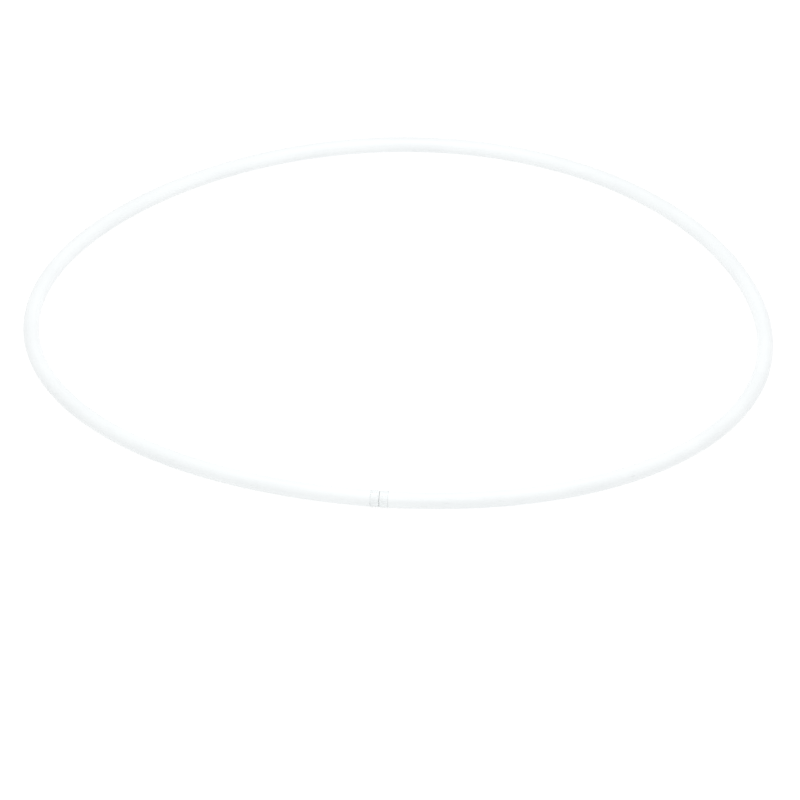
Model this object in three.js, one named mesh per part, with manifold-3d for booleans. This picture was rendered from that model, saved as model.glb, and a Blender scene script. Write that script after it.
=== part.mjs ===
// A rhythmic gymnastics hoop: one length of round plastic tube bent into a ring. Its two ends
// are pushed over a ribbed plug, pinned to it, and wrapped with one turn of clear tape.
//
// Millimetres, +Z up. The hoop lies flat with its underside at z = 0 and its outline centred on
// the origin. A tube that was bent from a coil isn't quite round: it has three flatter
// stretches, the middle of one of them faces -Y, and the joint is in that one. Every piece of
// the joint is modelled straight, as it is made, and is then bent along the hoop's line.

import * as THREE from "three";
import { mergeVertices } from "three/addons/utils/BufferGeometryUtils.js";
import Module from "manifold-3d";

// The hoop's line.
const HOOP_DIAMETER = 850; // outside, across the true circle that the line keeps near
const OUT_OF_ROUND = 10.4; // how far the line strays inside and outside that circle
const LOBES = 3; // places where it bulges outside, with a flatter stretch between each two
const JOINT_TURN = THREE.MathUtils.degToRad(7.6); // from the middle of a flatter stretch

// The tube.
const TUBE_DIAMETER = 18;
const TUBE_WALL = 2.4;
const SEAM_GAP = 0.4; // between the tube's two ends
const END_CHAMFER = 0.4; // on the outer edge of each end

// The plug inside both ends.
const PLUG_LENGTH = 110;
const PLUG_FIT = 0.3; // radial clearance between the ribs and the bore
const RIB_HEIGHT = 0.5; // how far a rib stands above the core
const RIB_WIDTH = 4;
const RIBS_EACH_SIDE = 5;
const TAPER_LENGTH = 6; // lead-in at each end of the plug
const TAPER_DROP = 1.5; // how much smaller in radius the core is at its very end

// The pins, one through each end of the tube, on the inside of the ring.
const PIN_DIAMETER = 2.4;
const PIN_HEAD_DIAMETER = 5;
const PIN_HEAD_DEPTH = 1.4; // countersunk into the tube's wall
const PIN_POINT_LENGTH = 1.6;
const PIN_BITE = 7.5; // how deep the pin goes into the plug's core
const PIN_FIT = 0.3; // clearance all round the pin
const PIN_AFTER_RIB = 3; // the pin goes between this rib and the next, counted from the seam

// The tape over the seam.
const TAPE_WIDTH = 19;
const TAPE_THICKNESS = 0.2;
const TAPE_FIT = 0.1;

// How finely the solids are faceted.
const TUBE_SIDES = 16;
const PIN_SIDES = 12;
const JOINT_STEP = 8; // greatest length of a facet beside the joint
const RING_STEP = 28; // and round the rest of the ring

const tubeRadius = TUBE_DIAMETER / 2;
const boreRadius = tubeRadius - TUBE_WALL;
const lineRadius = HOOP_DIAMETER / 2 - tubeRadius;
const tapeInnerRadius = tubeRadius + TAPE_FIT;
const tapeOuterRadius = tapeInnerRadius + TAPE_THICKNESS;
const lineHeight = tapeOuterRadius; // the tape is the thickest place, and it touches the floor
const ribRadius = boreRadius - PLUG_FIT;
const coreRadius = ribRadius - RIB_HEIGHT;
const ribPitch = (PLUG_LENGTH / 2 - TAPER_LENGTH) / RIBS_EACH_SIDE;
const pinDistance = PIN_AFTER_RIB * ribPitch; // from the seam, along the line
const pinLength = TUBE_WALL + PLUG_FIT + RIB_HEIGHT + PIN_BITE;
const overshoot = 2; // how far a cutter runs past the surface that it cuts

const UP = new THREE.Vector3(0, 0, 1);
const ALONG = new THREE.Vector3(0, 1, 0); // the axis that LatheGeometry turns round

const wasm = await Module();
wasm.setup();

// How far the line is from the lobes' centre, at an angle from the flatter stretch that faces -Y.
const radiusAt = (angle) => lineRadius - OUT_OF_ROUND * Math.cos(LOBES * angle);
const lobesCentreY = (radiusAt(0) - radiusAt(Math.PI)) / 2;

// The middle of the tube, once round from the joint, anticlockwise seen from above.
class HoopLine extends THREE.Curve {
  getPoint(t, target = new THREE.Vector3()) {
    const angle = 2 * Math.PI * t + JOINT_TURN;
    const radius = radiusAt(angle);
    return target.set(radius * Math.sin(angle), lobesCentreY - radius * Math.cos(angle), lineHeight);
  }
}

const line = new HoopLine();
line.arcLengthDivisions = 3000;
const lineLength = line.getLength();

// The place and the directions on the line at a distance from the seam, either way.
function frameAt(distance) {
  const share = (((distance / lineLength) % 1) + 1) % 1;
  const point = line.getPointAt(share);
  const tangent = line.getTangentAt(share);
  return { point, outward: tangent.clone().cross(UP).normalize() };
}

// Bends a straight piece round the hoop: its y becomes distance along the line from the seam,
// its x points away from the ring's centre, and its z stays up.
function bent(geometry) {
  const position = geometry.getAttribute("position");
  const straight = new THREE.Vector3();
  for (let i = 0; i < position.count; i++) {
    straight.fromBufferAttribute(position, i);
    const { point, outward } = frameAt(straight.y);
    point.addScaledVector(outward, straight.x).addScaledVector(UP, straight.z);
    position.setXYZ(i, point.x, point.y, point.z);
  }
  geometry.computeVertexNormals();
  return geometry;
}

// A turned piece from [radius, distance] pairs, with those radii measured to its flats.
function turned(profile, sides) {
  const toCorner = 1 / Math.cos(Math.PI / sides);
  const points = profile.map(([radius, distance]) => new THREE.Vector2(radius * toCorner, distance));
  return new THREE.LatheGeometry(points, sides, Math.PI / sides);
}

// Distances from one place to another in equal steps no longer than the longest allowed.
function stepsBetween(from, to, longest) {
  const count = Math.max(1, Math.ceil(Math.abs(to - from) / longest));
  return Array.from({ length: count + 1 }, (_, i) => from + ((to - from) * i) / count);
}

// Extra points on the sides of a profile that run along the line, so that it bends smoothly.
function refined(profile, longest) {
  const points = [profile[0]];
  for (let i = 1; i < profile.length; i++) {
    const [fromRadius, from] = profile[i - 1];
    const [toRadius, to] = profile[i];
    const distances = stepsBetween(from, to, longest);
    for (let k = 1; k < distances.length; k++) {
      const share = k / (distances.length - 1);
      points.push([fromRadius + (toRadius - fromRadius) * share, distances[k]]);
    }
  }
  return points;
}

function solidOf(geometry) {
  const bare = geometry.clone();
  bare.deleteAttribute("normal");
  bare.deleteAttribute("uv");
  const merged = mergeVertices(bare, 1e-4);
  return new wasm.Manifold(
    new wasm.Mesh({
      numProp: 3,
      vertProperties: merged.attributes.position.array,
      triVerts: new Uint32Array(merged.index.array),
    }),
  );
}

function geometryOf(solid) {
  const made = solid.getMesh();
  const geometry = new THREE.BufferGeometry();
  geometry.setAttribute("position", new THREE.BufferAttribute(made.vertProperties, 3));
  geometry.setIndex(new THREE.BufferAttribute(made.triVerts, 1));
  geometry.computeVertexNormals();
  return geometry;
}

function cut(geometry, cutters) {
  const left = cutters.reduce((rest, cutter) => rest.subtract(solidOf(cutter)), solidOf(geometry));
  return geometryOf(left);
}

// Where a pin's head lies in the wall, on the inside of the ring, with +Y out of the head.
function pinPlace(side) {
  const { point, outward } = frameAt(side * pinDistance);
  const inward = outward.clone().negate();
  const position = point.addScaledVector(inward, tubeRadius);
  const quaternion = new THREE.Quaternion().setFromUnitVectors(ALONG, inward);
  return { position, quaternion };
}

// A countersunk pin, head up at y = 0, grown by a clearance when it is the shape of its hole.
function pinGeometry(clearance, above) {
  const shank = PIN_DIAMETER / 2 + clearance;
  const head = PIN_HEAD_DIAMETER / 2 + clearance;
  const tip = -pinLength - clearance;
  const profile = [
    [0, tip],
    [shank, tip + PIN_POINT_LENGTH],
    [shank, -PIN_HEAD_DEPTH],
    [head, -clearance],
    [head, above],
    [0, above],
  ];
  return turned(profile, PIN_SIDES);
}

function pinHole(side) {
  const { position, quaternion } = pinPlace(side);
  const place = new THREE.Matrix4().compose(position, quaternion, new THREE.Vector3(1, 1, 1));
  return pinGeometry(PIN_FIT, overshoot).applyMatrix4(place);
}

const SIDES_OF_SEAM = { left: -1, right: 1 };
const pinHoles = Object.values(SIDES_OF_SEAM).map(pinHole);

function tubeGeometry() {
  const from = SEAM_GAP / 2;
  const to = lineLength - SEAM_GAP / 2;
  const jointZone = PLUG_LENGTH / 2 + JOINT_STEP;
  const outside = [
    ...stepsBetween(from + END_CHAMFER, jointZone, JOINT_STEP),
    ...stepsBetween(jointZone, lineLength - jointZone, RING_STEP).slice(1, -1),
    ...stepsBetween(lineLength - jointZone, to - END_CHAMFER, JOINT_STEP),
  ];
  const bore = [to, ...outside.slice(1, -1).reverse(), from];
  const profile = [
    [tubeRadius - END_CHAMFER, from],
    ...outside.map((distance) => [tubeRadius, distance]),
    [tubeRadius - END_CHAMFER, to],
    ...bore.map((distance) => [boreRadius, distance]),
    [tubeRadius - END_CHAMFER, from],
  ];
  return cut(bent(turned(profile, TUBE_SIDES)), pinHoles);
}

function plugGeometry() {
  const end = PLUG_LENGTH / 2;
  const ribs = [];
  for (let k = -RIBS_EACH_SIDE; k < RIBS_EACH_SIDE; k++) {
    const middle = (k + 0.5) * ribPitch;
    const base = RIB_WIDTH / 2;
    const top = base - RIB_HEIGHT;
    ribs.push([coreRadius, middle - base], [ribRadius, middle - top]);
    ribs.push([ribRadius, middle + top], [coreRadius, middle + base]);
  }
  const profile = [
    [0, -end],
    [coreRadius - TAPER_DROP, -end],
    [coreRadius, TAPER_LENGTH - end],
    ...ribs,
    [coreRadius, end - TAPER_LENGTH],
    [coreRadius - TAPER_DROP, end],
    [0, end],
  ];
  return cut(bent(turned(refined(profile, JOINT_STEP), TUBE_SIDES)), pinHoles);
}

function tapeGeometry() {
  const end = TAPE_WIDTH / 2;
  const profile = [
    [tapeInnerRadius, -end],
    [tapeOuterRadius, -end],
    [tapeOuterRadius, end],
    [tapeInnerRadius, end],
    [tapeInnerRadius, -end],
  ];
  return bent(turned(refined(profile, JOINT_STEP), TUBE_SIDES));
}

const whiteTube = new THREE.MeshStandardMaterial({ color: 0xf2f7f8, roughness: 0.35, metalness: 0 });
const naturalPlug = new THREE.MeshStandardMaterial({ color: 0xdfe3df, roughness: 0.55, metalness: 0 });
const zincPin = new THREE.MeshStandardMaterial({ color: 0xc3c6c8, roughness: 0.3, metalness: 1 });
const clearTape = new THREE.MeshStandardMaterial({
  color: 0xf4f9fb,
  roughness: 0.15,
  metalness: 0,
  transparent: true,
  opacity: 0.35,
});

function named(name, geometry, material) {
  const mesh = new THREE.Mesh(geometry, material);
  mesh.name = name;
  return mesh;
}

const hoop = new THREE.Group();
hoop.add(named("hoop_tube", tubeGeometry(), whiteTube));

const joint = new THREE.Group();
joint.add(named("joint_plug", plugGeometry(), naturalPlug));
joint.add(named("joint_tape", tapeGeometry(), clearTape));
for (const [sideName, side] of Object.entries(SIDES_OF_SEAM)) {
  const pin = named(`joint_pin_${sideName}`, pinGeometry(0, 0), zincPin);
  const { position, quaternion } = pinPlace(side);
  pin.position.copy(position);
  pin.quaternion.copy(quaternion);
  joint.add(pin);
}
hoop.add(joint);

export default hoop;
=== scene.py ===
"""A rhythmic gymnastics hoop lying on a white studio floor.

The file is laid out as an add-on and run as a script. Metres, +Z up. The hoop's pieces are made
straight, with their own axis along +Y, and are then bent round the hoop's line: a straight
piece's x points away from the ring's centre, its y runs along the line from the joint, and its z
stays up. The straight place of each point is kept in the attribute "unbent", which the materials
read, so that grain follows the tube.
"""

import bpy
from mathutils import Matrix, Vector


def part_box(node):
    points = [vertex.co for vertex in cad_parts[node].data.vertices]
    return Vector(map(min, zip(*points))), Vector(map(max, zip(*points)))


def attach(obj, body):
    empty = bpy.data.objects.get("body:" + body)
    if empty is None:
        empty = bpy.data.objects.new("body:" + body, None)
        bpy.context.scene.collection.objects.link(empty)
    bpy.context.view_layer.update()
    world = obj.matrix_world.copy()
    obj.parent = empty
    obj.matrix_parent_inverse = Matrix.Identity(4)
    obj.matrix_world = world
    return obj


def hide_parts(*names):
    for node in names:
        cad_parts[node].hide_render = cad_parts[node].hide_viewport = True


bl_info = {
    "name": "Rhythmic hoop",
    "version": (1, 0, 0),
    "blender": (4, 5, 0),
    "location": "3D View > Sidebar > Hoop",
    "description": "Makes a rhythmic gymnastics hoop with its joint, and a studio floor under it",
    "category": "Add Mesh",
}

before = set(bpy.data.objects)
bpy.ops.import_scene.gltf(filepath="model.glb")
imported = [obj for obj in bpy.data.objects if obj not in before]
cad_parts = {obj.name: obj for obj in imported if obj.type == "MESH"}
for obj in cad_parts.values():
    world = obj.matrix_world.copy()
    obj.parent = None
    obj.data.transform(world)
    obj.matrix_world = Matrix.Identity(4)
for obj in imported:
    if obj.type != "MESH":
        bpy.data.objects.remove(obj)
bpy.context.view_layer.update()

import math

import bmesh
import bpy
import numpy as np
from bpy.props import FloatProperty, FloatVectorProperty, IntProperty, PointerProperty
from mathutils import Matrix, Vector

BODY = "root"
MM = 0.001
WELD = 0.001 * MM  # points closer than this are one point
FULL_TURN = 2 * math.pi
ALONG = Vector((0, 1, 0))  # a straight piece's own axis
UNBENT = "unbent"


def middle(box):
    return (box[0] + box[1]) / 2


TUBE_BOX, TAPE_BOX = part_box("hoop_tube"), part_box("joint_tape")
PIN_BOXES = {"pin_left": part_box("joint_pin_left"), "pin_right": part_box("joint_pin_right")}
TUBE_SIZE = TUBE_BOX[1] - TUBE_BOX[0]
TUBE_RADIUS = TUBE_SIZE.z / 2
TAPE_RADIUS = (TAPE_BOX[1].z - TAPE_BOX[0].z) / 2
PLUG_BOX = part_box("joint_plug")
RIB_RADIUS = (PLUG_BOX[1].z - PLUG_BOX[0].z) / 2
LINE_RADIUS = TUBE_SIZE.y / 2 - TUBE_RADIUS


# Settings


def length(name, description, default):
    return FloatProperty(
        name=name,
        description=description,
        default=default,
        min=0,
        subtype="DISTANCE",
        unit="LENGTH",
    )


def slant(name, description, default):
    return FloatProperty(
        name=name, description=description, default=math.radians(default), subtype="ANGLE"
    )


def power(name, description, default):
    return FloatProperty(
        name=name, description=description, default=default, min=0, unit="POWER"
    )


def colour(name, description, default):
    return FloatVectorProperty(
        name=name,
        description=description,
        default=default,
        min=0,
        max=1,
        size=3,
        subtype="COLOR",
    )


class HoopShape(bpy.types.PropertyGroup):
    """Sizes of the hoop and of its joint"""

    line_radius: length(
        "Line radius", "Radius of the true circle that the tube keeps near", LINE_RADIUS
    )
    out_of_round: length("Out of round", "How far the tube strays from that circle", 10.4 * MM)
    lobes: IntProperty(name="Lobes", description="Places where the ring bulges", default=3, min=0)
    tube_radius: length("Tube radius", "Outer radius of the tube", TUBE_RADIUS)
    tube_wall: length("Tube wall", "Thickness of the tube's wall", 2.4 * MM)
    seam_gap: length("Seam gap", "Gap between the tube's two ends", 0.4 * MM)
    end_round: length("End rounding", "Rounding of the outer edge of each end", 0.35 * MM)
    plug_length: length("Plug length", "Length of the plug inside the two ends", 110 * MM)
    rib_radius: length("Rib radius", "Radius of the plug over its ribs", RIB_RADIUS)
    rib_height: length("Rib height", "How far a rib stands above the plug's core", 0.5 * MM)
    rib_width: length("Rib width", "Width of a rib where it meets the core", 4 * MM)
    ribs_each_side: IntProperty(
        name="Ribs", description="Ribs in each end of the tube", default=5, min=1
    )
    taper_length: length("Taper length", "Length of the lead-in at each end of the plug", 6 * MM)
    taper_drop: length("Taper drop", "How much thinner the plug's very end is", 1.5 * MM)
    pin_radius: length("Pin radius", "Radius of a pin's shank", 1.2 * MM)
    pin_head_radius: length("Pin head radius", "Radius of a pin's head", 2.5 * MM)
    pin_head_depth: length("Pin head depth", "How deep the head is sunk into the wall", 1.4 * MM)
    pin_point: length("Pin point", "Length of a pin's point", 1.6 * MM)
    pin_length: length("Pin length", "Whole length of a pin", 10.7 * MM)
    pin_gap: length("Pin gap", "Clearance round a pin", 0.3 * MM)
    tape_radius: length(
        "Tape radius", "Outer radius of the tape where it laps over itself", TAPE_RADIUS
    )
    tape_width: length("Tape width", "Width of the tape", 19 * MM)
    film: length("Film", "Thickness of the tape's film", 0.08 * MM)
    tape_lap: length("Tape lap", "How far the tape's end laps over its start", 14 * MM)


class HoopFinish(bpy.types.PropertyGroup):
    """Colours of the hoop's materials"""

    tube: colour("Tube", "The white plastic of the tube", (0.812, 0.834, 0.838))
    tube_grey: colour("Tube shade", "Where the plastic is a little greyer", (0.777, 0.801, 0.808))
    scuff: colour("Scuff", "Marks where the hoop has rolled on a floor", (0.62, 0.64, 0.64))
    plug: colour("Plug", "Unpigmented plastic of the plug", (0.70, 0.71, 0.66))
    zinc: colour("Zinc", "Plating of the pins", (0.56, 0.57, 0.58))
    tape: colour("Tape", "The tape's film", (0.90, 0.93, 0.93))
    tape_edge: colour("Tape edge", "Dust held by the glue at the tape's edges", (0.60, 0.62, 0.63))
    floor: colour("Floor", "The studio floor", (0.30, 0.30, 0.30))


class HoopStage(bpy.types.PropertyGroup):
    """The camera and the lights"""

    camera_turn: slant(
        "Camera turn", "How far the camera stands round from straight in front, to the right", 10.6
    )
    camera_rise: slant(
        "Camera rise", "How far above the hoop's plane the camera looks from", 29.16
    )
    camera_roll: slant("Camera roll", "How far the camera leans to its left", 1.27)
    camera_distance: length("Camera distance", "From the camera to the middle of the lobes", 5.71)
    aim_nearer: length("Aim nearer", "How far in front of that middle the camera aims", 0.194)
    aim_left: length("Aim left", "How far to the left of that middle the camera aims", 1.5 * MM)
    lens: FloatProperty(
        name="Lens",
        description="Focal length on a 36 mm sensor",
        default=225,
        min=1,
        unit="CAMERA",
    )
    top_power: power("Top light", "Power of the light overhead", 16)
    front_power: power("Front light", "Power of the light above the camera", 12)
    studio: FloatProperty(
        name="Studio", description="Brightness of the white walls all round", default=0.90, min=0
    )
    floor_glow: FloatProperty(
        name="Floor glow",
        description="Light that comes up through the white floor",
        default=0.77,
        min=0,
    )


# The hoop's line


class HoopLine:
    """The middle of the tube, once round from the joint, anticlockwise seen from above."""

    SAMPLES = 7200
    NUDGE = 1e-5  # radians either way, to find the line's direction

    def __init__(self, shape):
        self.shape = shape
        centre = middle(TUBE_BOX)
        lean = (self.radius(0.0) - self.radius(math.pi)) / 2
        self.centre = Vector((centre.x, centre.y + lean, centre.z))
        to_joint = middle(TAPE_BOX) - self.centre
        self.start = math.atan2(to_joint.x, -to_joint.y)
        self.angles = self.start + np.linspace(0, FULL_TURN, self.SAMPLES + 1)
        places = self.places(self.angles)
        steps = np.linalg.norm(np.diff(places, axis=0), axis=1)
        self.distances = np.concatenate([[0.0], np.cumsum(steps)])
        self.length = float(self.distances[-1])

    def radius(self, angle):
        return self.shape.line_radius - self.shape.out_of_round * np.cos(self.shape.lobes * angle)

    def places(self, angles):
        radius = self.radius(angles)
        across = self.centre.x + radius * np.sin(angles)
        back = self.centre.y - radius * np.cos(angles)
        return np.stack([across, back, np.full_like(across, self.centre.z)], axis=-1)

    def frames(self, distances):
        """The line's places, directions and outward directions at distances from the joint."""
        angles = np.interp(np.mod(distances, self.length), self.distances, self.angles)
        along = self.places(angles + self.NUDGE) - self.places(angles - self.NUDGE)
        along /= np.linalg.norm(along, axis=-1, keepdims=True)
        outward = np.stack([along[..., 1], -along[..., 0], np.zeros_like(angles)], axis=-1)
        return self.places(angles), along, outward

    def distance_of(self, place):
        """How far along the line, either way from the joint, a place beside the joint is."""
        to_place = place - self.centre
        angle = math.atan2(to_place.x, -to_place.y)
        far = float(np.interp(angle % FULL_TURN, self.angles, self.distances))
        if angle < self.start:
            far = float(np.interp(angle + FULL_TURN, self.angles, self.distances)) - self.length
        return far


# Mesh work on straight pieces


ROUNDED_FROM = math.radians(25)  # an edge that turns more than this is rounded
SHADED_SHARP_FROM = math.radians(32)  # and one that turns more than this is shaded as sharp


def drawn(corners, closed, longest):
    """A profile in the plane of x (radius) and y (distance), with its long sides cut up."""
    bm = bmesh.new()
    verts = [bm.verts.new((radius, distance, 0)) for radius, distance in corners]
    pairs = list(zip(verts, verts[1:] + verts[:1]))
    sides = [bm.edges.new(pair) for pair in (pairs if closed else pairs[:-1])]
    for side in sides:
        cuts = math.ceil(side.calc_length() / longest) - 1
        if cuts > 0:
            bmesh.ops.subdivide_edges(bm, edges=[side], cuts=cuts)
    return bm


def turned(bm, segments):
    """Turns a profile once round the y axis and closes its poles."""
    bmesh.ops.spin(
        bm,
        geom=bm.verts[:] + bm.edges[:],
        cent=(0, 0, 0),
        axis=ALONG,
        angle=FULL_TURN,
        steps=segments,
        use_merge=True,
    )
    bmesh.ops.remove_doubles(bm, verts=bm.verts, dist=WELD)
    bmesh.ops.recalc_face_normals(bm, faces=bm.faces)
    return bm


def rounded(bm, radius, segments, sharper_than=ROUNDED_FROM, chosen=lambda edge: True):
    """Rounds the sharp edges of a mesh."""
    edges = [e for e in bm.edges if e.calc_face_angle(0) > sharper_than and chosen(e)]
    bmesh.ops.bevel(
        bm,
        geom=edges,
        offset=radius,
        offset_type="OFFSET",
        segments=segments,
        profile=0.5,
        affect="EDGES",
        material=-1,
        clamp_overlap=True,
    )
    return bm


def as_object(bm, name):
    mesh = bpy.data.meshes.new(name)
    bm.to_mesh(mesh)
    bm.free()
    made = bpy.data.objects.new(name, mesh)
    bpy.context.scene.collection.objects.link(made)
    return made


def removed(made):
    mesh = made.data
    bpy.data.objects.remove(made)
    bpy.data.meshes.remove(mesh)


def cut(bm, cutters):
    """Takes the cutters' shapes out of a mesh, and uses both up."""
    blank = as_object(bm, "blank")
    tools = [as_object(cutter, "cutter") for cutter in cutters]
    for tool in tools:
        hole = blank.modifiers.new("hole", "BOOLEAN")
        hole.operation = "DIFFERENCE"
        hole.solver = "EXACT"
        hole.object = tool
    graph = bpy.context.evaluated_depsgraph_get()
    holed = bpy.data.meshes.new_from_object(blank.evaluated_get(graph))
    left = bmesh.new()
    left.from_mesh(holed)
    bpy.data.meshes.remove(holed)
    for made in [blank, *tools]:
        removed(made)
    return left


def bent(bm, line):
    """Bends a straight piece round the hoop, and keeps each point's straight place."""
    straight = np.array([vert.co for vert in bm.verts])
    places, _, outward = line.frames(straight[:, 1])
    places = places + outward * straight[:, :1]
    places[:, 2] += straight[:, 2]
    kept = bm.verts.layers.float_vector.new(UNBENT)
    for vert, before, after in zip(bm.verts, straight, places):
        vert[kept] = before
        vert.co = after
    return bm


def seated(bm, line, distance):
    """Stands a stiff piece at a distance along the line, and keeps each straight place."""
    place, along, outward = (Vector(row) for row in line.frames(np.float64(distance)))
    kept = bm.verts.layers.float_vector.new(UNBENT)
    for vert in bm.verts:
        vert[kept] = vert.co
        vert.co = place + outward * vert.co.x + along * vert.co.y + Vector((0, 0, vert.co.z))
    return bm


def shown(bm, name, node, material):
    """Makes the finished piece, which stands for a node of the frame."""
    for face in bm.faces:
        face.smooth = True
    piece = as_object(bm, name)
    piece.data.set_sharp_from_angle(angle=SHADED_SHARP_FROM)
    piece.data.materials.append(material)
    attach(piece, BODY)
    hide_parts(node)
    return piece


# Materials


class Graph:
    """A node tree that is built from code."""

    def __init__(self, tree):
        self.tree = tree

    def feed(self, socket, value):
        """Joins another node's output to a socket, or sets the socket to a value."""
        if isinstance(value, bpy.types.NodeSocket):
            self.tree.links.new(value, socket)
        else:
            socket.default_value = value

    def node(self, kind, settings=None, **sockets):
        """A node with its settings, and with values or other nodes' outputs in its sockets.

        A socket is named in the call with _ for a space, or by its number as in_0.
        """
        made = self.tree.nodes.new("ShaderNode" + kind)
        for name, value in (settings or {}).items():
            setattr(made, name, value)
        for name, value in sockets.items():
            if name.startswith("in_"):
                socket = made.inputs[int(name[3:])]
            else:
                socket = made.inputs[name.replace("_", " ")]
            self.feed(socket, value)
        return made

    def maths(self, operation, *values, clamp=False):
        settings = {"operation": operation, "use_clamp": clamp}
        inputs = {f"in_{i}": value for i, value in enumerate(values)}
        return self.node("Math", settings, **inputs).outputs[0]

    def ramp(self, value, low, high, to_low=0.0, to_high=1.0):
        """value from low to high, eased and mapped to a new range, and held at its ends."""
        settings = {"interpolation_type": "SMOOTHSTEP"}
        made = self.node(
            "MapRange",
            settings,
            Value=value,
            From_Min=low,
            From_Max=high,
            To_Min=to_low,
            To_Max=to_high,
        )
        return made.outputs["Result"]

    def scaled(self, vector, by):
        made = self.node("VectorMath", {"operation": "MULTIPLY"}, in_0=vector, in_1=by)
        return made.outputs[0]

    def noise(self, vector, scale, detail=2.0, roughness=0.5, distortion=0.0):
        made = self.node(
            "TexNoise",
            Vector=vector,
            Scale=scale,
            Detail=detail,
            Roughness=roughness,
            Distortion=distortion,
        )
        return made.outputs["Fac"]

    def mixed(self, share, one, other):
        """Goes from one colour to the other. A Mix node's colour sockets only have numbers."""
        made = self.node("Mix", {"data_type": "RGBA"}, Factor=share, in_6=one, in_7=other)
        return made.outputs[2]

    def group(self, tree, **sockets):
        made = self.tree.nodes.new("ShaderNodeGroup")
        made.node_tree = tree
        for name, value in sockets.items():
            self.feed(made.inputs[name.replace("_", " ")], value)
        return made.outputs


def new_group(name, inputs, outputs):
    """An empty node group: its graph, its inputs, and a function that sets its outputs."""
    tree = bpy.data.node_groups.new(name, "ShaderNodeTree")
    for label, kind, default in inputs:
        socket = tree.interface.new_socket(label, in_out="INPUT", socket_type="NodeSocket" + kind)
        if default is not None:
            socket.default_value = default
    for label, kind in outputs:
        tree.interface.new_socket(label, in_out="OUTPUT", socket_type="NodeSocket" + kind)
    graph = Graph(tree)
    given = tree.nodes.new("NodeGroupInput").outputs
    result = tree.nodes.new("NodeGroupOutput").inputs

    def give(**values):
        for label, socket in values.items():
            tree.links.new(socket, result[label.replace("_", " ")])

    return graph, given, give


def drawn_lines_group():
    """Fine lines that a die or a drawing plate leaves along a piece."""
    graph, given, give = new_group(
        "Drawn lines",
        [("Place", "Vector", None), ("Fineness", "Float", 1500.0), ("Stretch", "Float", 0.01)],
        [("Lines", "Float"), ("Height", "Float")],
    )
    split = graph.node("SeparateXYZ", Vector=given["Place"]).outputs
    along = graph.maths("MULTIPLY", split["Y"], given["Stretch"])
    place = graph.node("CombineXYZ", X=split["X"], Y=along, Z=split["Z"]).outputs[0]
    fine = graph.noise(place, given["Fineness"], detail=3.0, roughness=0.6)
    broad = graph.noise(place, graph.maths("MULTIPLY", given["Fineness"], 0.22), detail=1.0)
    both = graph.maths(
        "ADD", graph.maths("MULTIPLY", fine, 0.6), graph.maths("MULTIPLY", broad, 0.4)
    )
    give(Lines=graph.ramp(both, 0.36, 0.64), Height=both)
    return graph.tree


def mottle_group():
    """A soft, uneven change of colour, with a slight ripple of the surface."""
    graph, given, give = new_group(
        "Mottle",
        [
            ("Place", "Vector", None),
            ("Scale", "Float", 30.0),
            ("One", "Color", (0.8, 0.8, 0.8, 1)),
            ("Other", "Color", (0.7, 0.7, 0.7, 1)),
        ],
        [("Colour", "Color"), ("Mask", "Float"), ("Height", "Float")],
    )
    cloud = graph.noise(given["Place"], given["Scale"], detail=4.0, roughness=0.55)
    ripple = graph.noise(given["Place"], graph.maths("MULTIPLY", given["Scale"], 14.0), detail=1.0)
    mask = graph.ramp(cloud, 0.34, 0.68)
    give(Colour=graph.mixed(mask, given["One"], given["Other"]), Mask=mask, Height=ripple)
    return graph.tree


# Lean in radians, fineness across the scratch, and how high the noise must peak to leave one
SCRATCHES = ((0.10, 1.0, 0.66), (-0.45, 1.3, 0.69), (1.05, 1.6, 0.71))


def scuffs_group():
    """Short fine scratches that lean both ways, and rubbed spots, in patches."""
    graph, given, give = new_group(
        "Scuffs",
        [("Place", "Vector", None), ("Scale", "Float", 1500.0), ("Where", "Float", 1.0)],
        [("Mask", "Float"), ("Height", "Float")],
    )
    marks = None
    for lean, fineness, rarity in SCRATCHES:
        leant = graph.node(
            "VectorRotate",
            {"rotation_type": "EULER_XYZ"},
            Vector=given["Place"],
            Rotation=(lean, 0.6 * lean, lean),
        ).outputs[0]
        streaks = graph.noise(
            graph.scaled(leant, (fineness, 0.035, fineness)),
            given["Scale"],
            detail=1.0,
            roughness=0.3,
        )
        scratch = graph.ramp(streaks, rarity, rarity + 0.05)
        marks = scratch if marks is None else graph.maths("MAXIMUM", marks, scratch)
    rubbed = graph.noise(
        graph.scaled(given["Place"], (1.0, 0.4, 1.0)),
        graph.maths("MULTIPLY", given["Scale"], 0.12),
        detail=6.0,
        roughness=0.7,
    )
    spots = graph.maths("MULTIPLY", graph.ramp(rubbed, 0.58, 0.76), 0.6)
    marks = graph.maths("MAXIMUM", marks, spots)
    patches = graph.noise(given["Place"], graph.maths("MULTIPLY", given["Scale"], 0.016))
    patchy = graph.ramp(patches, 0.42, 0.62, 0.15, 1.0)
    patched = graph.maths("MULTIPLY", marks, patchy)
    mask = graph.maths("MULTIPLY", patched, given["Where"], clamp=True)
    give(Mask=mask, Height=graph.maths("MULTIPLY", mask, -1.0))
    return graph.tree


def group_named(name, make):
    return bpy.data.node_groups.get(name) or make()


def lined(graph, places, **sockets):
    return graph.group(group_named("Drawn lines", drawn_lines_group), Place=places, **sockets)


def mottled(graph, places, scale, one, other):
    return graph.group(
        group_named("Mottle", mottle_group),
        Place=places,
        Scale=scale,
        One=opaque(one),
        Other=opaque(other),
    )


def scuffed(graph, places, scale, where):
    return graph.group(
        group_named("Scuffs", scuffs_group), Place=places, Scale=scale, Where=where
    )


def opaque(rgb):
    return (*rgb, 1)


def darker(rgb, share):
    return tuple(share * part for part in rgb)


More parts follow.
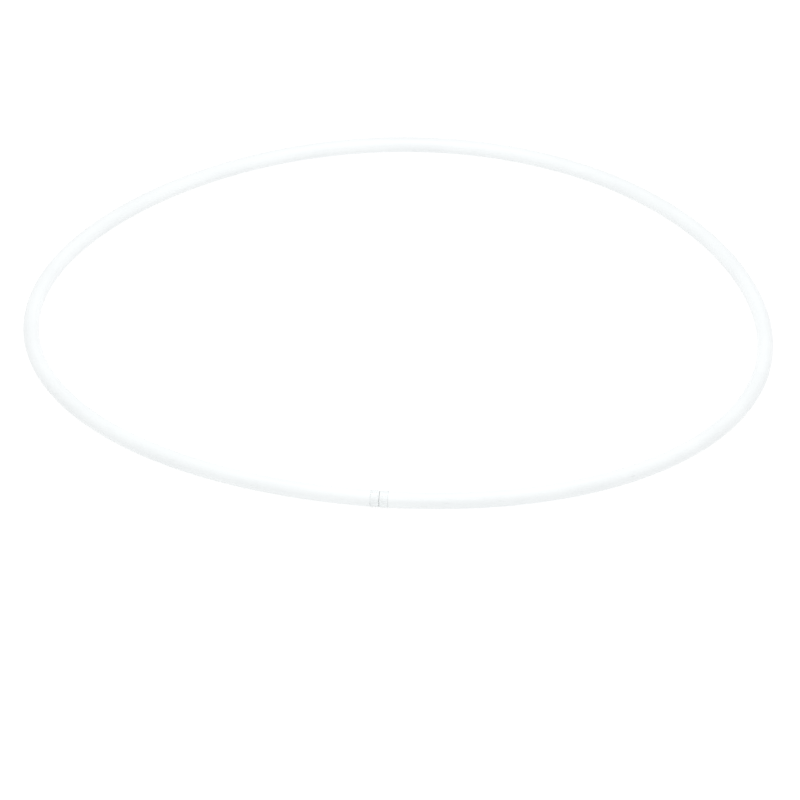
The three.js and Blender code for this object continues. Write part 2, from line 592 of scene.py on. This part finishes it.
def new_material(name, shown_colour):
    """An empty material: its graph, its shader's sockets, and the piece's straight places."""
    material = bpy.data.materials.new(name)
    material.use_nodes = True
    material.diffuse_color = opaque(shown_colour)
    graph = Graph(material.node_tree)
    surface = material.node_tree.nodes["Principled BSDF"].inputs
    places = graph.node("Attribute", {"attribute_name": UNBENT}).outputs["Vector"]
    return material, graph, surface, places


def bumped(graph, surface, *heights):
    """Stacks bumps, each a height and its depth, and gives the result to the shader."""
    normal = None
    for height, depth in heights:
        bump = graph.node("Bump", Strength=1.0, Distance=depth, Height=height)
        if normal is not None:
            graph.feed(bump.inputs["Normal"], normal)
        normal = bump.outputs["Normal"]
    graph.feed(surface["Normal"], normal)


# How fine the mottle and the scuffs are on each finish, as noise scales per metre
TUBE_MOTTLE, TUBE_SCUFFS = 34.0, 1400.0
PLUG_MOTTLE, PLUG_SCUFFS = 160.0, 2200.0
PIN_MOTTLE, PIN_SCUFFS, PIN_LINES = 900.0, 6000.0, 4200.0
TAPE_MOTTLE, TAPE_SCUFFS = 260.0, 1800.0
FLOOR_MOTTLE = 6.0
PLUG_PARTING = (0.8, 0.81, 0.78)  # the paler line where the mould's halves met
PLUG_SCUFF = (0.85, 0.86, 0.84)
PIN_SCUFF = (0.72, 0.73, 0.74)


def tube_plastic(finish, shape, line):
    """White polyethylene, drawn through a die and handled a little."""
    material, graph, surface, places = new_material("tube_white_plastic", finish.tube)
    lines = lined(graph, places)
    drawn_out = graph.scaled(places, (1.0, 0.35, 1.0))
    mottle = mottled(graph, drawn_out, TUBE_MOTTLE, finish.tube, finish.tube_grey)
    split = graph.node("SeparateXYZ", Vector=places).outputs
    rim = graph.ramp(split["X"], 0.55 * shape.tube_radius, shape.tube_radius, 0.12, 1.0)
    under = graph.ramp(split["Z"], -shape.tube_radius, -0.6 * shape.tube_radius, 1.0, 0.12)
    scuffs = scuffed(graph, places, TUBE_SCUFFS, graph.maths("MAXIMUM", rim, under))
    from_joint = graph.maths("PINGPONG", split["Y"], line.length / 2)
    from_tape = graph.maths("SUBTRACT", from_joint, shape.tape_width / 2)
    beside = graph.ramp(graph.maths("ABSOLUTE", from_tape), 0.0, 1.1 * MM, 1.0, 0.0)
    broken = graph.ramp(graph.noise(places, 900.0, detail=3.0), 0.35, 0.65, 0.35, 1.0)
    grime = graph.maths("MULTIPLY", beside, broken)
    streak = graph.maths("MULTIPLY", lines["Lines"], 0.5)
    streaked = graph.mixed(streak, mottle["Colour"], opaque(finish.tube_grey))
    scuff = graph.maths("MULTIPLY", scuffs["Mask"], 0.38)
    marked = graph.mixed(scuff, streaked, opaque(finish.scuff))
    dirty = graph.mixed(graph.maths("MULTIPLY", grime, 0.45), marked, opaque(finish.tape_edge))
    graph.feed(surface["Base Color"], dirty)
    satin = graph.ramp(lines["Lines"], 0.0, 1.0, 0.27, 0.35)
    cloudy = graph.maths("ADD", satin, graph.maths("MULTIPLY", mottle["Mask"], 0.05))
    dull = graph.maths("MULTIPLY", scuffs["Mask"], 0.25)
    graph.feed(surface["Roughness"], graph.maths("ADD", cloudy, dull, clamp=True))
    surface["IOR"].default_value = 1.5
    bumped(
        graph,
        surface,
        (mottle["Height"], 0.012 * MM),
        (lines["Height"], 0.02 * MM),
        (scuffs["Height"], 0.02 * MM),
    )
    return material


def plug_plastic(finish, shape):
    """Unpigmented polyethylene from a mould, with the mould's parting line."""
    material, graph, surface, places = new_material("plug_natural_plastic", finish.plug)
    mottle = mottled(graph, places, PLUG_MOTTLE, finish.plug, darker(finish.plug, 0.9))
    split = graph.node("SeparateXYZ", Vector=places).outputs
    parting = graph.ramp(graph.maths("ABSOLUTE", split["Z"]), 0.0, 0.12 * MM, 1.0, 0.0)
    squares = (graph.maths("POWER", split[axis], 2.0) for axis in ("X", "Z"))
    from_axis = graph.maths("SQRT", graph.maths("ADD", *squares))
    ribs = graph.ramp(from_axis, shape.rib_radius - 0.3 * MM, shape.rib_radius, 0.1, 1.0)
    scuffs = scuffed(graph, places, PLUG_SCUFFS, ribs)
    pale = graph.mixed(
        graph.maths("MULTIPLY", parting, 0.5), mottle["Colour"], opaque(PLUG_PARTING)
    )
    graph.feed(surface["Base Color"], graph.mixed(scuffs["Mask"], pale, opaque(PLUG_SCUFF)))
    rough = graph.ramp(mottle["Mask"], 0.0, 1.0, 0.42, 0.55)
    worn = graph.maths("ADD", rough, graph.maths("MULTIPLY", scuffs["Mask"], 0.2))
    graph.feed(surface["Roughness"], worn)
    bumped(
        graph,
        surface,
        (mottle["Height"], 0.03 * MM),
        (parting, 0.05 * MM),
        (scuffs["Height"], 0.02 * MM),
    )
    return material


def pin_zinc(finish):
    """Zinc-plated steel wire, with a stamped head."""
    material, graph, surface, places = new_material("pin_zinc_plate", finish.zinc)
    quarter_turn = graph.node(
        "VectorRotate", {"rotation_type": "Z_AXIS"}, Vector=places, Angle=math.radians(90)
    ).outputs[0]
    lines = lined(graph, quarter_turn, Fineness=PIN_LINES, Stretch=0.05)
    mottle = mottled(graph, places, PIN_MOTTLE, finish.zinc, darker(finish.zinc, 0.86))
    scuffs = scuffed(graph, places, PIN_SCUFFS, 0.8)
    bright = graph.mixed(scuffs["Mask"], mottle["Colour"], opaque(PIN_SCUFF))
    graph.feed(surface["Base Color"], bright)
    dull = graph.ramp(mottle["Mask"], 0.0, 1.0, 0.24, 0.42)
    drawn_dull = graph.maths("ADD", dull, graph.maths("MULTIPLY", lines["Lines"], 0.08))
    graph.feed(surface["Roughness"], drawn_dull)
    surface["Metallic"].default_value = 1.0
    bumped(graph, surface, (lines["Height"], 0.006 * MM), (scuffs["Height"], 0.01 * MM))
    return material


def tape_film(finish, shape):
    """Clear film with dust along its two edges, and pale spots where air is caught under it."""
    material, graph, surface, places = new_material("tape_clear_film", finish.tape)
    split = graph.node("SeparateXYZ", Vector=places).outputs
    from_middle = graph.maths("ABSOLUTE", split["Y"])
    from_edge = graph.maths("SUBTRACT", shape.tape_width / 2, from_middle)
    edge = graph.ramp(from_edge, 0.03 * MM, 0.55 * MM, 1.0, 0.0)
    specks = graph.ramp(graph.noise(places, 1400.0, detail=4.0), 0.40, 0.60)
    broken = graph.maths("ADD", graph.maths("MULTIPLY", specks, 0.7), 0.3)
    dust = graph.maths("MULTIPLY", edge, broken)
    mottle = mottled(graph, places, TAPE_MOTTLE, finish.tape, darker(finish.tape, 0.97))
    scuffs = scuffed(graph, places, TAPE_SCUFFS, 0.6)
    dusty = graph.mixed(dust, mottle["Colour"], opaque(finish.tape_edge))
    graph.feed(surface["Base Color"], dusty)
    drawn_out = graph.scaled(places, (1.0, 0.4, 1.0))
    air = graph.ramp(graph.noise(drawn_out, 380.0, roughness=0.4), 0.60, 0.66)
    clear = graph.maths("ADD", 0.07, graph.maths("MULTIPLY", air, 0.08))
    hazy = graph.maths("ADD", clear, graph.maths("MULTIPLY", scuffs["Mask"], 0.12))
    seen = graph.maths("ADD", hazy, graph.maths("MULTIPLY", dust, 0.18), clamp=True)
    graph.feed(surface["Alpha"], seen)
    gloss = graph.ramp(mottle["Mask"], 0.0, 1.0, 0.08, 0.14)
    worn = graph.maths("ADD", gloss, graph.maths("MULTIPLY", scuffs["Mask"], 0.3))
    graph.feed(surface["Roughness"], worn)
    wrinkles = graph.noise(graph.scaled(places, (1.0, 0.25, 1.0)), 520.0, distortion=0.6)
    bumped(
        graph, surface, (wrinkles, 0.05 * MM), (air, 0.02 * MM), (scuffs["Height"], 0.01 * MM)
    )
    return material


def floor_sheet(finish, glow):
    """A matt white sheet that is also lit from below."""
    material = bpy.data.materials.new("white_sheet")
    material.use_nodes = True
    graph = Graph(material.node_tree)
    surface = material.node_tree.nodes["Principled BSDF"].inputs
    places = graph.node("TexCoord").outputs["Object"]
    mottle = mottled(graph, places, FLOOR_MOTTLE, finish.floor, darker(finish.floor, 0.995))
    graph.feed(surface["Base Color"], mottle["Colour"])
    surface["Roughness"].default_value = 0.9
    surface["Specular IOR Level"].default_value = 0.1
    surface["Emission Color"].default_value = (1, 1, 1, 1)
    surface["Emission Strength"].default_value = glow
    return material


# The pieces


TUBE_SEGMENTS = 56
PLUG_SEGMENTS = 48
PIN_SEGMENTS = 40
TAPE_SEGMENTS = 72

# The longest side that a straight profile keeps whole
RING_STEP = 7 * MM
PIN_STEP = 1.5 * MM
TAPE_STEP = 1.6 * MM
WHOLE = 1.0  # longer than any side, so that none is cut up

CUT_END_FROM = math.radians(60)  # only the edges of the tube's cut ends turn more than this
PLUG_ROUND = 0.2 * MM
PIN_ROUND = 0.12 * MM
CUTTER_ABOVE = 2 * MM  # how far a hole's cutter stands out of the wall
LAP_FROM = math.radians(-160)  # inside the ring, just below the middle
LAP_INSET = 0.005 * MM  # keeps the lap just inside the tape's box


def pin_profile(shape, gap, above):
    """The countersunk pin's outline, head at distance 0, or its hole's with a gap all round."""
    shank = shape.pin_radius + gap
    head = shape.pin_head_radius + gap
    tip = -shape.pin_length - gap
    return [
        (0, tip),
        (shank, tip + shape.pin_point),
        (shank, -shape.pin_head_depth),
        (head, -gap),
        (head, above),
        (0, above),
    ]


def pin_turn(shape):
    """Turns a piece whose axis is y so that it stands in the tube's wall, head at the inside."""
    return Matrix.Translation((-shape.tube_radius, 0, 0)) @ Matrix.Rotation(math.pi / 2, 4, "Z")


def pin_cutter(shape, distance):
    profile = drawn(pin_profile(shape, shape.pin_gap, CUTTER_ABOVE), False, WHOLE)
    bm = turned(profile, PIN_SEGMENTS)
    place = Matrix.Translation((0, distance, 0)) @ pin_turn(shape)
    bmesh.ops.transform(bm, matrix=place, verts=bm.verts)
    return bm


def pin_distances(line):
    return {name: line.distance_of(middle(box)) for name, box in PIN_BOXES.items()}


class HOOP_OT_tube(bpy.types.Operator):
    """Make the bent tube, with its two cut ends and the holes for the pins"""

    bl_idname = "hoop.tube"
    bl_label = "Tube"

    def execute(self, context):
        shape, finish = context.scene.hoop_shape, context.scene.hoop_finish
        line = HoopLine(shape)
        bore = shape.tube_radius - shape.tube_wall
        start, end = shape.seam_gap / 2, line.length - shape.seam_gap / 2
        outside = shape.tube_radius
        corners = [(bore, start), (outside, start), (outside, end), (bore, end)]
        bm = turned(drawn(corners, True, RING_STEP), TUBE_SEGMENTS)

        def is_outer(edge):
            place = edge.verts[0].co
            return math.hypot(place.x, place.z) > bore + 0.1 * MM

        rounded(bm, shape.end_round, 3, CUT_END_FROM, is_outer)
        distances = pin_distances(line).values()
        bm = cut(bm, [pin_cutter(shape, distance % line.length) for distance in distances])
        shown(bent(bm, line), "tube", "hoop_tube", tube_plastic(finish, shape, line))
        return {"FINISHED"}


class HOOP_OT_plug(bpy.types.Operator):
    """Make the ribbed plug that holds the tube's two ends together"""

    bl_idname = "hoop.plug"
    bl_label = "Plug"

    def execute(self, context):
        shape, finish = context.scene.hoop_shape, context.scene.hoop_finish
        line = HoopLine(shape)
        core = shape.rib_radius - shape.rib_height
        end = shape.plug_length / 2
        pitch = (end - shape.taper_length) / shape.ribs_each_side
        tip = core - shape.taper_drop
        corners = [(0, -end), (tip, -end), (core, shape.taper_length - end)]
        for k in range(-shape.ribs_each_side, shape.ribs_each_side):
            centre, foot = (k + 0.5) * pitch, shape.rib_width / 2
            top = foot - shape.rib_height
            corners += [(core, centre - foot), (shape.rib_radius, centre - top)]
            corners += [(shape.rib_radius, centre + top), (core, centre + foot)]
        corners += [(core, end - shape.taper_length), (tip, end), (0, end)]
        bm = turned(drawn(corners, False, RING_STEP), PLUG_SEGMENTS)
        rounded(bm, PLUG_ROUND, 2)
        distances = pin_distances(line).values()
        bm = cut(bm, [pin_cutter(shape, distance) for distance in distances])
        shown(bent(bm, line), "plug", "joint_plug", plug_plastic(finish, shape))
        return {"FINISHED"}


class HOOP_OT_pins(bpy.types.Operator):
    """Make the two countersunk pins"""

    bl_idname = "hoop.pins"
    bl_label = "Pins"

    def execute(self, context):
        shape, finish = context.scene.hoop_shape, context.scene.hoop_finish
        line = HoopLine(shape)
        material = pin_zinc(finish)
        for name, distance in pin_distances(line).items():
            bm = turned(drawn(pin_profile(shape, 0, 0), False, PIN_STEP), PIN_SEGMENTS)
            rounded(bm, PIN_ROUND, 3)
            bmesh.ops.transform(bm, matrix=pin_turn(shape), verts=bm.verts)
            shown(seated(bm, line, distance), name, "joint_" + name, material)
        return {"FINISHED"}


class HOOP_OT_tape(bpy.types.Operator):
    """Wrap one turn of clear tape, thicker where its end laps over its start"""

    bl_idname = "hoop.tape"
    bl_label = "Tape"

    def execute(self, context):
        shape, finish = context.scene.hoop_shape, context.scene.hoop_finish
        line = HoopLine(shape)
        outer = shape.tape_radius - shape.film
        inner, half = outer - shape.film, shape.tape_width / 2
        corners = [(inner, -half), (outer, -half), (outer, half), (inner, half)]
        bm = turned(drawn(corners, True, TAPE_STEP), TAPE_SEGMENTS)
        lap = shape.tape_lap / outer

        def lapped(place):
            """The angle past the film's cut end."""
            return (math.atan2(place.z, place.x) - LAP_FROM) % FULL_TURN

        def is_under_lap(face):
            place = face.calc_center_median()
            return face.normal.dot(place) > 0.5 * outer and lapped(place) < lap

        skin = [face for face in bm.faces if is_under_lap(face)]
        raised = bmesh.ops.extrude_face_region(bm, geom=skin)["geom"]
        bmesh.ops.delete(bm, geom=skin, context="FACES")
        verts = [item for item in raised if isinstance(item, bmesh.types.BMVert)]
        # The far row stays down, so that the lap slopes to it
        far = max(lapped(vert.co) for vert in verts) - 0.1 * FULL_TURN / TAPE_SEGMENTS
        step = [vert for vert in verts if lapped(vert.co) < far]
        share = (shape.tape_radius - LAP_INSET) / outer
        bmesh.ops.scale(bm, verts=step, vec=(share, 1, share))
        bmesh.ops.remove_doubles(bm, verts=bm.verts, dist=WELD)
        bmesh.ops.dissolve_degenerate(bm, edges=bm.edges, dist=WELD)
        bmesh.ops.recalc_face_normals(bm, faces=bm.faces)
        shown(bent(bm, line), "tape", "joint_tape", tape_film(finish, shape))
        return {"FINISHED"}


FLOOR_RADIUS = 14
FLOOR_SEGMENTS = 96
TOP_LIGHT_PLACE, TOP_LIGHT_SIZE = (0.1, -0.2, 2.3), (1.4, 1.0)
FRONT_LIGHT_AWAY, FRONT_LIGHT_SIZE = 2.6, (2.0, 1.4)  # as far up as it is out
SENSOR_WIDTH = 36
CLIP_END = 60


class HOOP_OT_stage(bpy.types.Operator):
    """Make the floor, the soft lights and the camera"""

    bl_idname = "hoop.stage"
    bl_label = "Stage"

    def execute(self, context):
        scene, stage = context.scene, context.scene.hoop_stage
        self.lay_floor(scene.hoop_finish, stage)
        self.light(scene, stage)
        self.stand_camera(scene, stage, HoopLine(scene.hoop_shape).centre)
        scene.view_settings.view_transform = "Standard"
        scene.view_settings.look = "None"
        return {"FINISHED"}

    def lay_floor(self, finish, stage):
        bm = bmesh.new()
        bmesh.ops.create_circle(
            bm, cap_ends=True, radius=FLOOR_RADIUS, segments=FLOOR_SEGMENTS
        )
        floor = as_object(bm, "floor")
        floor.data.materials.append(floor_sheet(finish, stage.floor_glow))

    def light(self, scene, stage):
        world = bpy.data.worlds.new("white_studio")
        world.use_nodes = True
        walls = world.node_tree.nodes["Background"].inputs
        walls["Color"].default_value = (1, 1, 1, 1)
        walls["Strength"].default_value = stage.studio
        scene.world = world
        self.hang(scene, "top_light", TOP_LIGHT_PLACE, TOP_LIGHT_SIZE, stage.top_power)
        turn, away = stage.camera_turn, FRONT_LIGHT_AWAY
        front = (away * math.sin(turn), -away * math.cos(turn), away)
        self.hang(scene, "front_light", front, FRONT_LIGHT_SIZE, stage.front_power)

    def hang(self, scene, name, place, size, power):
        lamp = bpy.data.lights.new(name, "AREA")
        lamp.shape = "RECTANGLE"
        lamp.size, lamp.size_y = size
        lamp.energy = power
        hung = bpy.data.objects.new(name, lamp)
        hung.location = place
        hung.rotation_euler = (-hung.location).to_track_quat("-Z", "Y").to_euler()
        hung.visible_camera = False
        scene.collection.objects.link(hung)

    def stand_camera(self, scene, stage, centre):
        turn, rise = stage.camera_turn, stage.camera_rise
        nearer = Vector((math.sin(turn), -math.cos(turn), 0))
        away = nearer * math.cos(rise) + Vector((0, 0, math.sin(rise)))
        camera = bpy.data.objects.new("camera", bpy.data.cameras.new("camera"))
        camera.data.lens = stage.lens
        camera.data.sensor_width = SENSOR_WIDTH
        camera.data.clip_end = CLIP_END
        camera.location = centre + away * stage.camera_distance
        left = Vector((-math.cos(turn), -math.sin(turn), 0))
        aim = centre + nearer * stage.aim_nearer + left * stage.aim_left - camera.location
        level = aim.to_track_quat("-Z", "Y").to_matrix().to_4x4()
        leant = level @ Matrix.Rotation(stage.camera_roll, 4, "Z")
        camera.rotation_euler = leant.to_euler()
        scene.collection.objects.link(camera)
        scene.camera = camera


class HOOP_PT_panel(bpy.types.Panel):
    """The hoop's settings and its pieces"""

    bl_idname = "HOOP_PT_panel"
    bl_label = "Rhythmic hoop"
    bl_space_type = "VIEW_3D"
    bl_region_type = "UI"
    bl_category = "Hoop"

    def draw(self, context):
        for operator in OPERATORS:
            self.layout.operator(operator.bl_idname)
        for settings in (getattr(context.scene, name) for name in SETTINGS):
            box = self.layout.box()
            for name in settings.bl_rna.properties.keys():
                if name not in {"rna_type", "name"}:
                    box.prop(settings, name)


SETTINGS = {"hoop_shape": HoopShape, "hoop_finish": HoopFinish, "hoop_stage": HoopStage}
OPERATORS = (HOOP_OT_tube, HOOP_OT_plug, HOOP_OT_pins, HOOP_OT_tape, HOOP_OT_stage)
CLASSES = (*SETTINGS.values(), *OPERATORS, HOOP_PT_panel)


def register():
    for cls in CLASSES:
        bpy.utils.register_class(cls)
    for name, cls in SETTINGS.items():
        setattr(bpy.types.Scene, name, PointerProperty(type=cls))


def unregister():
    for name in SETTINGS:
        delattr(bpy.types.Scene, name)
    for cls in reversed(CLASSES):
        bpy.utils.unregister_class(cls)


def main():
    register()
    bpy.ops.hoop.tube()
    bpy.ops.hoop.plug()
    bpy.ops.hoop.pins()
    bpy.ops.hoop.tape()
    bpy.ops.hoop.stage()


if __name__ == "__main__":
    main()
